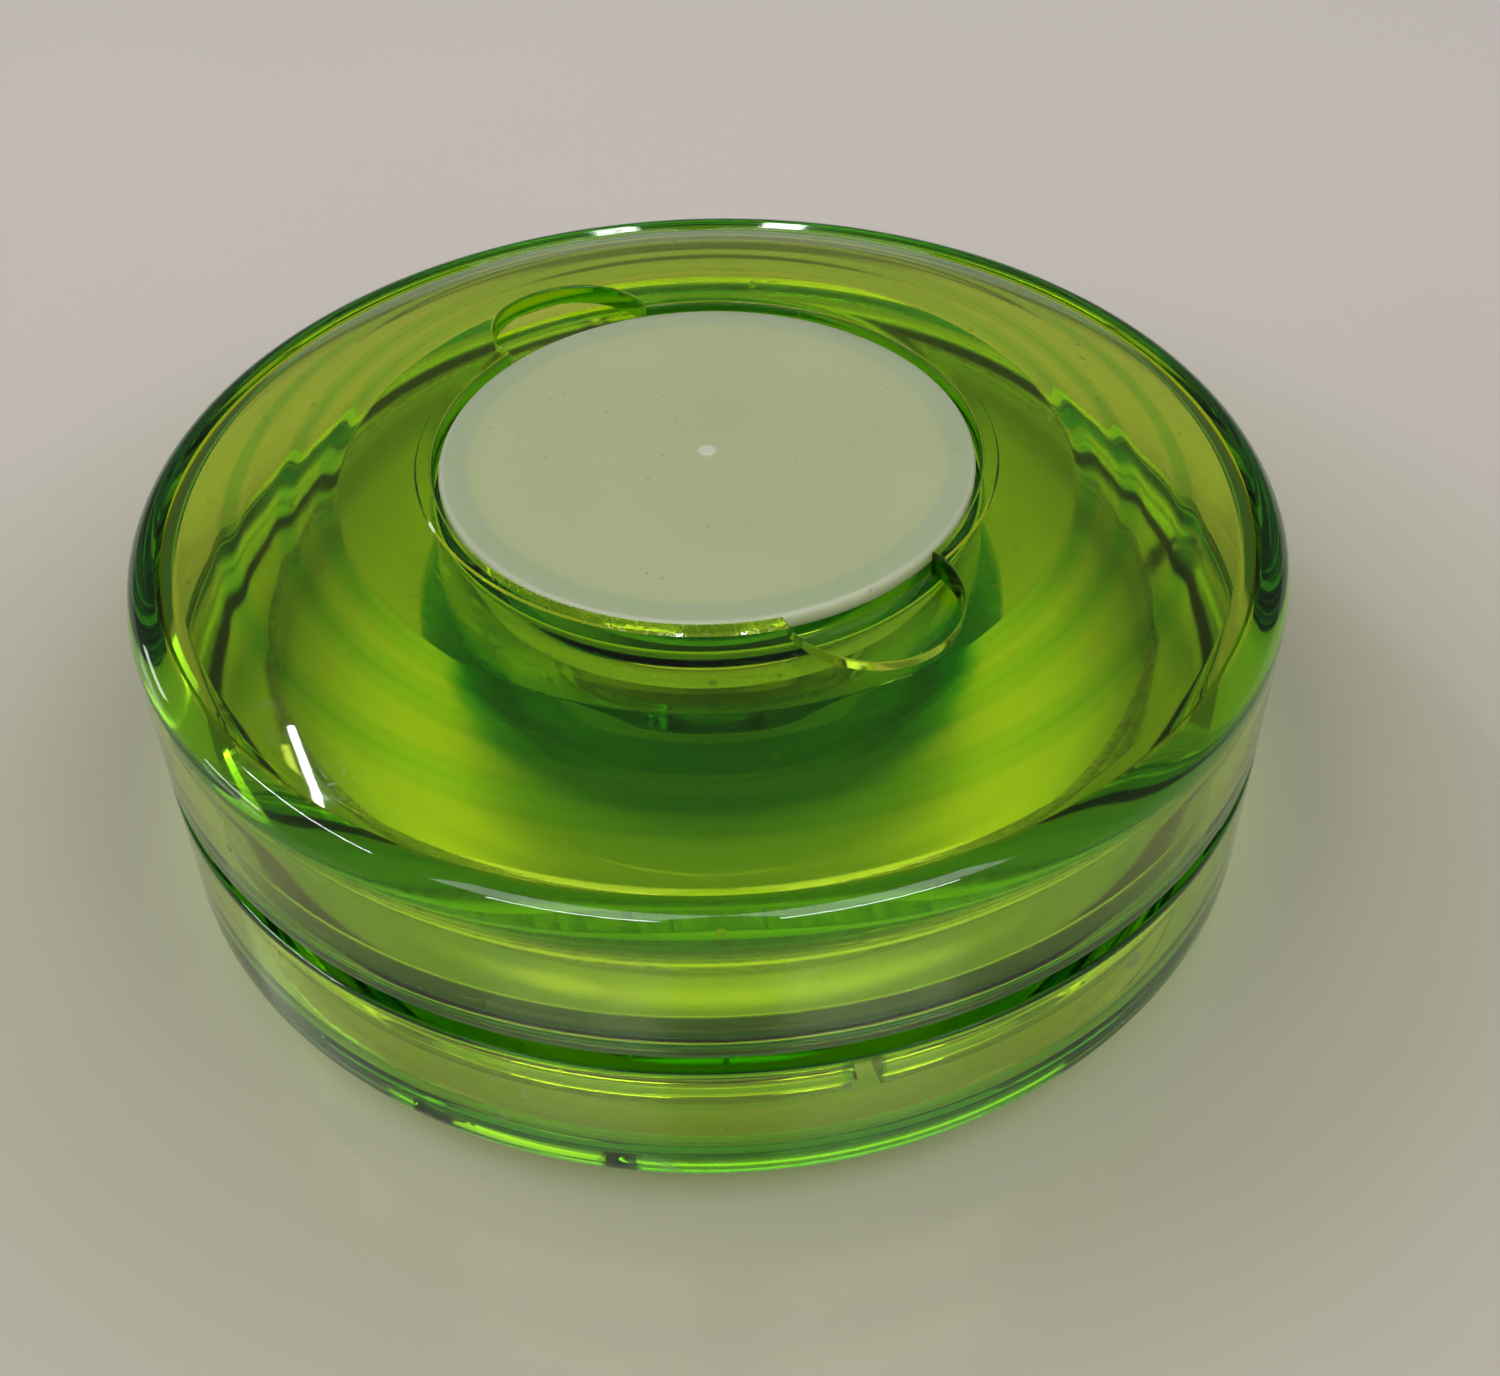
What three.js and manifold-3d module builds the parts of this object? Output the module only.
// A plastic yo-yo lying on its side: two translucent halves on one steel axle, each closed by
// a snap-in frosted cap. +Z runs along the axle; the origin is the middle of the string gap.
// All sizes are millimetres.
import * as THREE from "three";
import { mergeVertices } from "three/addons/utils/BufferGeometryUtils.js";
import Module from "manifold-3d";

const wasm = await Module();
wasm.setup();

// Driving dimensions. Heights are measured from the middle of the string gap.
const RIM_R = 28.5;
const HALF_HEIGHT = 11.5;
const HALF_GAP = 0.5;
const WALL = 1.4;
const FIT = 0.3;
const ROUND_STEPS = 48;

// Shell: rim, dome, collar and well.
const EDGE_BREAK = 0.2;
const RIM_ROUND = 1.6;
const CREST_Z = 8.95;
const DOME_OUTER_R = 26.7;
const DOME_OUTER_Z = 8.7;
const DOME_INNER_R = 14.2;
const DOME_INNER_Z = 11.4;
const COLLAR_R = 14.1;
const BORE_R = 13.4;
const LEDGE_Z = 10.1;
const WELL_TOP_R = 12.4;
const WELL_FLOOR_R = 10.7;
const WELL_FLOOR_Z = 4.3;
const WELL_UNDER_R = 11.8;
const WELL_UNDER_Z = 3.1;
const BOSS_R = 6.5;
const BOSS_Z = 2.5;
const HUB_WALL_R = 13.5;
const HUB_RING_R = 18.5;
const HUB_RING_Z = 8.8;
const RIB_RADII = [20.4, 23.2];
const RIB_WIDTH = 0.85;
const RIB_DEPTH = 0.5;
const CORNER_Z = 6.6;

// Pry notches beside the cap.
const NOTCH_ANGLE = -59;
const NOTCH_CENTRE_R = 13.6;
const NOTCH_R = 4.2;
const NOTCH_FLOOR_Z = 10.2;

// Cap: disc and snap skirt.
const CAP_TOP_Z = 11.2;
const CAP_EDGE_Z = CAP_TOP_Z - 0.8;
const CAP_UNDER_Z = CAP_TOP_Z - 1.2;
const CAP_R = BORE_R - FIT;
const CAP_SKIRT_R = 12.0;
const CAP_SKIRT_END_R = 11.15;
const CAP_SKIRT_Z = 7.4;
const CAP_SKIRT_WALL = 1.0;
const CAP_CHAMFER = 0.25;
const GATE_R = 0.8;
const GATE_RISE = 0.12;

// String walls: the plates that face the string gap.
const PLATE_R = 26.8;
const PLATE_EDGE_TOP_Z = 2.0;
const PLATE_FLANGE_R = 24.0;
const PLATE_FIELD_Z = 1.1;
const PLATE_FIELD_TOP_Z = 2.5;
const PLATE_HOLE_R = 7.0;
const RAMP = 1.2;

// Snap collar on the lower string wall, with its relief slots.
const SNAP_R = 26.6;
const SNAP_WALL = 1.4;
const SNAP_END_Z = 4.4;
const SNAP_BEAD_Z = 3.1;
const SNAP_BEAD_R = 26.95;
const SNAP_BEAD_HALF = 0.6;
const SLOT_ANGLE = -77;
const SLOT_COUNT = 4;
const SLOT_WIDTH = 1.3;
const SLOT_ROOT_Z = 2.1;

// Axle group.
const AXLE_R = 2.0;
const AXLE_END_Z = 9.3;
const AXLE_CHAMFER = 0.4;
const CLEAR_R = AXLE_R + FIT;
const SLEEVE_R = 3.2;
const SLEEVE_HALF = 1.0;
const SPACER_R = 6.4;
const SPACER_Z = 1.3;
const SPACER_TOP_Z = BOSS_Z - FIT;
const WASHER_R = 4.5;
const WASHER_Z = WELL_FLOOR_Z + FIT;
const WASHER_THICK = 0.8;
const NUT_FLATS = 7.0;
const NUT_THICK = 3.2;
const NUT_Z = WASHER_Z + WASHER_THICK + FIT;
const SMALL_STEPS = 30;

const radians = (degrees) => (degrees * Math.PI) / 180;

const finish = {
  lime: { color: 0x77b31a, roughness: 0.12, metalness: 0, transparent: true, opacity: 0.6 },
  frost: { color: 0xc3cfa6, roughness: 0.5, metalness: 0 },
  steel: { color: 0xb9bcc0, roughness: 0.3, metalness: 1 },
  nylon: { color: 0xe6e4dc, roughness: 0.45, metalness: 0 },
};

// A profile of [radius, height] points turned round the Z axis.
function lathe(profile, steps) {
  const points = profile.map(([r, z]) => new THREE.Vector2(r, z));
  return new THREE.LatheGeometry(points, steps).rotateX(Math.PI / 2);
}

// A profile closed on itself, turned round the Z axis.
function ring(profile, steps = ROUND_STEPS) {
  return lathe([...profile, profile[0]], steps);
}

function toSolid(geometry) {
  const bare = geometry.clone();
  bare.deleteAttribute("normal");
  bare.deleteAttribute("uv");
  const merged = mergeVertices(bare, 1e-3);
  return new wasm.Manifold(
    new wasm.Mesh({
      numProp: 3,
      vertProperties: merged.attributes.position.array,
      triVerts: new Uint32Array(merged.index.array),
    }),
  );
}

function toGeometry(solid) {
  const mesh = solid.getMesh();
  return new THREE.BufferGeometry()
    .setAttribute("position", new THREE.BufferAttribute(mesh.vertProperties, 3))
    .setIndex(new THREE.BufferAttribute(mesh.triVerts, 1));
}

function cut(geometry, cutters) {
  let solid = toSolid(geometry);
  for (const cutter of cutters) solid = solid.subtract(toSolid(cutter));
  return toGeometry(solid);
}

// Height of the dome's outer face: a circular arc, level where it meets the collar.
function domeHeight(r) {
  const run = DOME_OUTER_R - DOME_INNER_R;
  const drop = DOME_INNER_Z - DOME_OUTER_Z;
  const arcR = (run * run + drop * drop) / (2 * drop);
  const out = r - DOME_INNER_R;
  return DOME_INNER_Z - (arcR - Math.sqrt(arcR * arcR - out * out));
}

// Points of an arc from one angle to another, in degrees, about a centre.
function arc(centreR, centreZ, radius, from, to, count) {
  return Array.from({ length: count + 1 }, (_, i) => {
    const angle = radians(from + ((to - from) * i) / count);
    return [centreR + radius * Math.cos(angle), centreZ + radius * Math.sin(angle)];
  });
}

// Outer face of a shell, from the skirt's edge over the rim and dome to the collar.
function shellOutside() {
  const rimCentreR = RIM_R - RIM_ROUND;
  const domeRadii = [DOME_OUTER_R, 24.2, 21.7, 19.2, 16.7, DOME_INNER_R];
  return [
    [RIM_R - EDGE_BREAK, HALF_GAP],
    [RIM_R, HALF_GAP + EDGE_BREAK],
    ...arc(rimCentreR, CREST_Z - RIM_ROUND, RIM_ROUND, 0, 90, 5),
    ...domeRadii.map((r) => [r, domeHeight(r)]),
    [COLLAR_R, HALF_HEIGHT],
  ];
}

// Well of a shell, from the collar's bore down to the axle hole and back under the floor.
function shellWell() {
  return [
    [BORE_R, HALF_HEIGHT],
    [BORE_R, LEDGE_Z],
    [WELL_TOP_R, LEDGE_Z],
    [WELL_FLOOR_R, WELL_FLOOR_Z],
    [CLEAR_R, WELL_FLOOR_Z],
    [CLEAR_R, BOSS_Z],
    [BOSS_R, BOSS_Z],
    [BOSS_R, WELL_UNDER_Z],
    [WELL_UNDER_R, WELL_UNDER_Z],
  ];
}

// Underside of the dome: hub ring, two concentric ribs and the wall down to the skirt's edge.
function shellUnderside() {
  const under = (r) => domeHeight(r) - WALL;
  const ribs = RIB_RADII.flatMap((r) => [
    [r - RIB_WIDTH / 2, under(r)],
    [r - RIB_WIDTH / 2, under(r) - RIB_DEPTH],
    [r + RIB_WIDTH / 2, under(r) - RIB_DEPTH],
    [r + RIB_WIDTH / 2, under(r)],
  ]);
  const innerR = RIM_R - WALL;
  return [
    [HUB_WALL_R, HUB_RING_Z],
    [HUB_RING_R, HUB_RING_Z],
    [HUB_RING_R, under(HUB_RING_R)],
    ...ribs,
    [innerR - WALL, under(innerR - WALL)],
    [innerR, CORNER_Z],
    [innerR, HALF_GAP + EDGE_BREAK],
    [innerR + EDGE_BREAK, HALF_GAP],
  ];
}

// Round cutter for one pry notch, standing on the notch's floor.
function notchCutter(angle) {
  const tall = 3;
  return new THREE.CylinderGeometry(NOTCH_R, NOTCH_R, tall, 32)
    .rotateX(Math.PI / 2)
    .translate(
      NOTCH_CENTRE_R * Math.cos(radians(angle)),
      NOTCH_CENTRE_R * Math.sin(radians(angle)),
      NOTCH_FLOOR_Z + tall / 2,
    );
}

function shell() {
  const body = ring([...shellOutside(), ...shellWell(), ...shellUnderside()]);
  return cut(body, [notchCutter(NOTCH_ANGLE), notchCutter(NOTCH_ANGLE + 180)]);
}

// Frosted cap: a thin-edged disc with a raised gate mark, and a tapered skirt under it.
function cap() {
  return lathe(
    [
      [0, CAP_UNDER_Z],
      [CAP_SKIRT_R - CAP_SKIRT_WALL, CAP_UNDER_Z],
      [CAP_SKIRT_END_R - CAP_SKIRT_WALL, CAP_SKIRT_Z],
      [CAP_SKIRT_END_R, CAP_SKIRT_Z],
      [CAP_SKIRT_R, CAP_EDGE_Z],
      [CAP_R, CAP_EDGE_Z],
      [CAP_R, CAP_TOP_Z - CAP_CHAMFER],
      [CAP_R - CAP_CHAMFER, CAP_TOP_Z],
      [GATE_R, CAP_TOP_Z],
      [GATE_R - GATE_RISE, CAP_TOP_Z + GATE_RISE],
      [0, CAP_TOP_Z + GATE_RISE],
    ],
    ROUND_STEPS,
  );
}

// Face of a string wall, from the hub hole out to the flange's outer edge.
function plateFace() {
  return [
    [PLATE_HOLE_R, PLATE_FIELD_TOP_Z],
    [PLATE_HOLE_R, PLATE_FIELD_Z],
    [PLATE_FLANGE_R - RAMP, PLATE_FIELD_Z],
    [PLATE_FLANGE_R, HALF_GAP],
    [PLATE_R, HALF_GAP],
    [PLATE_R, PLATE_EDGE_TOP_Z],
  ];
}

function plainStringWall() {
  return ring([
    ...plateFace(),
    [PLATE_FLANGE_R, PLATE_EDGE_TOP_Z],
    [PLATE_FLANGE_R - RAMP, PLATE_FIELD_TOP_Z],
  ]);
}

// A relief slot's cutter: an arch seen along the radius, open at the collar's free edge.
function slotCutter(angle) {
  const half = SLOT_WIDTH / 2;
  const arch = new THREE.Shape();
  arch.moveTo(-half, SNAP_END_Z + 1);
  arch.lineTo(-half, SLOT_ROOT_Z + half);
  arch.absarc(0, SLOT_ROOT_Z + half, half, Math.PI, 2 * Math.PI, false);
  arch.lineTo(half, SNAP_END_Z + 1);
  arch.closePath();
  const depth = 3;
  return new THREE.ExtrudeGeometry(arch, { depth, bevelEnabled: false, curveSegments: 8 })
    .translate(0, 0, SNAP_R - SNAP_WALL / 2 - depth / 2)
    .rotateX(Math.PI / 2)
    .rotateZ(radians(angle - 270));
}

function snapStringWall() {
  const wall = ring([
    ...plateFace(),
    [SNAP_R, PLATE_EDGE_TOP_Z],
    [SNAP_R, SNAP_BEAD_Z - SNAP_BEAD_HALF],
    [SNAP_BEAD_R, SNAP_BEAD_Z],
    [SNAP_R, SNAP_BEAD_Z + SNAP_BEAD_HALF],
    [SNAP_R - EDGE_BREAK, SNAP_END_Z],
    [SNAP_R - SNAP_WALL, SNAP_END_Z],
    [SNAP_R - SNAP_WALL, PLATE_EDGE_TOP_Z],
    [PLATE_FLANGE_R, PLATE_EDGE_TOP_Z],
    [PLATE_FLANGE_R - RAMP, PLATE_FIELD_TOP_Z],
  ]);
  const angles = Array.from({ length: SLOT_COUNT }, (_, i) => -SLOT_ANGLE + (i * 360) / SLOT_COUNT);
  return cut(wall, angles.map(slotCutter));
}

// A flat disc with the axle's clearance hole.
function disc(outerR, lowZ, highZ) {
  return ring(
    [
      [CLEAR_R, lowZ],
      [outerR, lowZ],
      [outerR, highZ],
      [CLEAR_R, highZ],
    ],
    SMALL_STEPS,
  );
}

function nut() {
  const cornerR = NUT_FLATS / Math.sqrt(3);
  const corners = [0, 60, 120, 180, 240, 300].map(
    (a) => new THREE.Vector2(cornerR * Math.cos(radians(a)), cornerR * Math.sin(radians(a))),
  );
  const hexagon = new THREE.Shape(corners);
  hexagon.holes.push(new THREE.Path().absarc(0, 0, CLEAR_R, 0, 2 * Math.PI, true));
  return new THREE.ExtrudeGeometry(hexagon, {
    depth: NUT_THICK,
    bevelEnabled: false,
    curveSegments: SMALL_STEPS,
  }).translate(0, 0, NUT_Z);
}

function axle() {
  return lathe(
    [
      [0, -AXLE_END_Z],
      [AXLE_R - AXLE_CHAMFER, -AXLE_END_Z],
      [AXLE_R, AXLE_CHAMFER - AXLE_END_Z],
      [AXLE_R, AXLE_END_Z - AXLE_CHAMFER],
      [AXLE_R - AXLE_CHAMFER, AXLE_END_Z],
      [0, AXLE_END_Z],
    ],
    SMALL_STEPS,
  );
}

function mesh(name, geometry, look) {
  const piece = new THREE.Mesh(geometry, new THREE.MeshStandardMaterial(finish[look]));
  piece.name = name;
  return piece;
}

// One half of the yo-yo, open side down on the string gap.
function half(side, stringWall) {
  const group = new THREE.Group();
  group.add(
    mesh(`${side}_shell`, shell(), "lime"),
    mesh(`${side}_cap`, cap(), "frost"),
    mesh(`${side}_string_wall`, stringWall(), "lime"),
    mesh(`${side}_spacer`, disc(SPACER_R, SPACER_Z, SPACER_TOP_Z), "nylon"),
    mesh(`${side}_washer`, disc(WASHER_R, WASHER_Z, WASHER_Z + WASHER_THICK), "steel"),
    mesh(`${side}_axle_nut`, nut(), "steel"),
  );
  return group;
}

const yoyo = new THREE.Group();
const upper = half("upper", plainStringWall);
const lower = half("lower", snapStringWall);
lower.rotation.x = Math.PI;
yoyo.add(
  upper,
  lower,
  mesh("axle", axle(), "steel"),
  mesh("axle_sleeve", disc(SLEEVE_R, -SLEEVE_HALF, SLEEVE_HALF), "steel"),
);

export default yoyo;
